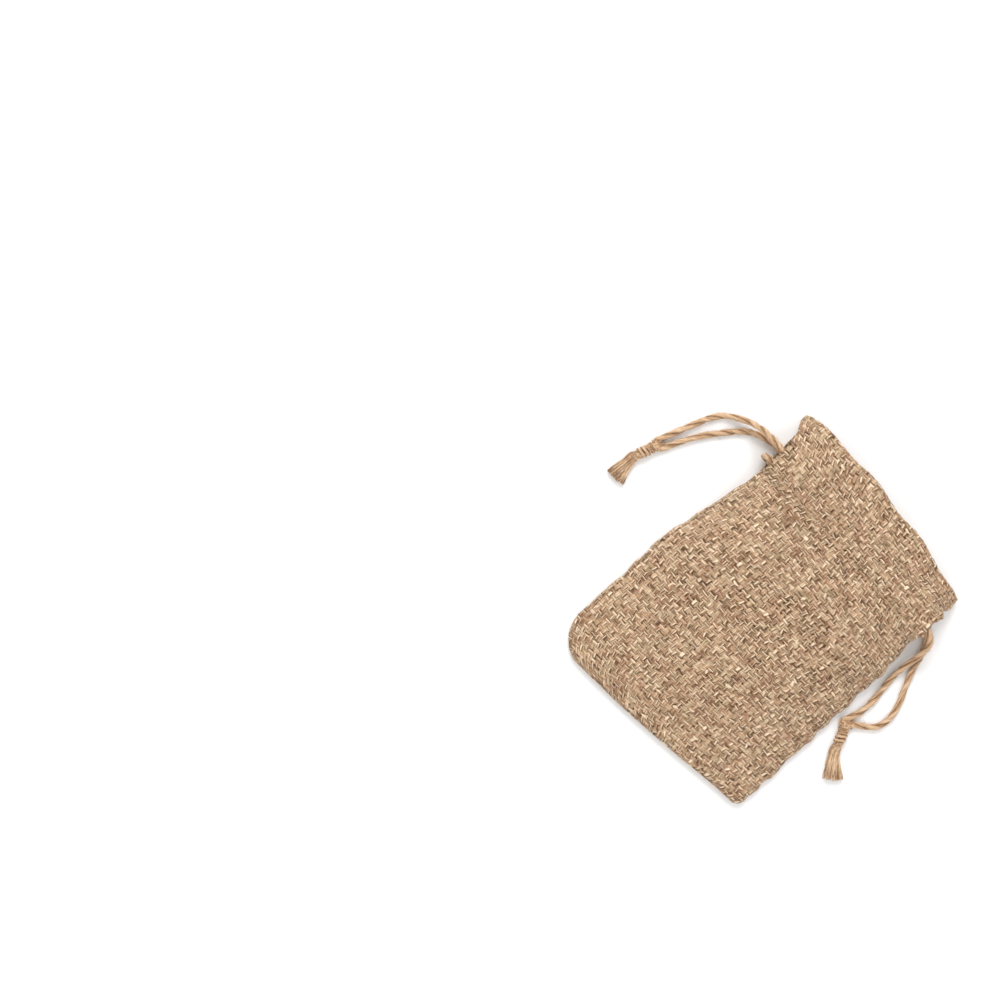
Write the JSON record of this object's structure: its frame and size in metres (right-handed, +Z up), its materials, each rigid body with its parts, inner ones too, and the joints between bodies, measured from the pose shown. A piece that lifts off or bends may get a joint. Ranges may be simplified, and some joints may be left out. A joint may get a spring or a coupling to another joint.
{
  "type": "drawstring gift pouch",
  "caption": "Small burlap gift pouch lying flat, with a sewn casing, a short ruffle and two jute drawcords, each joined by an overhand knot with frayed tails.",
  "frame": {"origin": "centre of the pouch's underside, on the surface that it lies on, halfway from the bottom seam to the mouth", "axes": "+X across the pouch to the side where the right cord leaves, +Y from the bottom seam to the mouth, +Z up from the surface"},
  "size_m": [0.1095, 0.092, 0.0124],
  "materials": {
    "burlap": "matte plain weave",
    "jute_cord": "matte twisted fibre",
    "sewing_thread": "matte spun thread"
  },
  "bodies": {
    "root": {"back_panel": "burlap", "front_panel": "burlap", "bottom_seam_allowance": "burlap", "left_side_seam_allowance": "burlap", "right_side_seam_allowance": "burlap", "back_casing": "burlap", "front_casing": "burlap", "bottom_overlock_thread": "sewing_thread", "left_overlock_thread": "sewing_thread", "right_overlock_thread": "sewing_thread", "back_casing_lower_stitches": "sewing_thread", "back_casing_upper_stitches": "sewing_thread", "front_casing_lower_stitches": "sewing_thread", "front_casing_upper_stitches": "sewing_thread"},
    "left_cord": {"left_cord_front_run": "jute_cord", "left_cord_back_run": "jute_cord", "left_cord_turn": "jute_cord", "left_cord_front_strand": "jute_cord", "left_cord_back_strand": "jute_cord", "left_cord_knot": "jute_cord", "left_cord_tail_1": "jute_cord", "left_cord_tail_2": "jute_cord"},
    "right_cord": {"right_cord_front_run": "jute_cord", "right_cord_back_run": "jute_cord", "right_cord_turn": "jute_cord", "right_cord_front_strand": "jute_cord", "right_cord_back_strand": "jute_cord", "right_cord_knot": "jute_cord", "right_cord_tail_1": "jute_cord", "right_cord_tail_2": "jute_cord"},
    "left_neck": {"left_neck_seam": "burlap", "left_neck_bartack": "sewing_thread"},
    "right_neck": {"right_neck_seam": "burlap", "right_neck_bartack": "sewing_thread"}
  },
  "joints": [
    {"name": "left_cord_pull", "type": "slide", "parent": "root", "child": "left_cord", "axis": [-1, 0, 0], "range_m": [0, 0.018], "deforming": ["back_casing", "front_casing", "back_casing_lower_stitches", "back_casing_upper_stitches", "front_casing_lower_stitches", "front_casing_upper_stitches"]},
    {"name": "right_neck_gather", "type": "slide", "parent": "root", "child": "right_neck", "axis": [-1, 0, 0], "range_m": [0, 0.018]},
    {"name": "right_cord_pull", "type": "slide", "parent": "root", "child": "right_cord", "axis": [1, 0, 0], "range_m": [0, 0.018]},
    {"name": "left_neck_gather", "type": "slide", "parent": "root", "child": "left_neck", "axis": [1, 0, 0], "range_m": [0, 0.018]}
  ],
  "couplings": [
    {"joint": "right_neck_gather", "follows": "left_cord_pull", "ratio": 1},
    {"joint": "left_neck_gather", "follows": "right_cord_pull", "ratio": 1}
  ]
}
